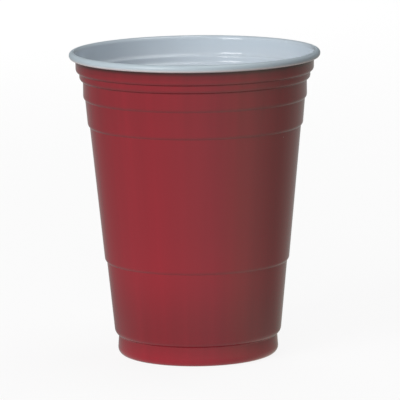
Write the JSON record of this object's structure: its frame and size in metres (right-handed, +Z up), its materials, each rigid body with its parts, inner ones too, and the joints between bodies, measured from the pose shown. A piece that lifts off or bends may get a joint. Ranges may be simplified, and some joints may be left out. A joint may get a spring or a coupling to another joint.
{
  "type": "plastic party cup",
  "caption": "Tapered plastic party cup, red outside and white inside, with a rolled rim, stepped bands under it, a ring low on the wall and a short flared foot.",
  "frame": {"origin": "centre of the circle that the foot stands on, on the supporting surface", "axes": "+Z up along the cup's axis, through its mouth; the cup is round, so X and Y are any two level directions"},
  "size_m": [0.096, 0.096, 0.1173],
  "materials": {
    "red_plastic": "glossy two-tone sheet, deep red on the outside, white with a cool tint on the inside and over the rolled rim"
  },
  "bodies": {
    "root": {"cup": "red_plastic"}
  },
  "joints": []
}
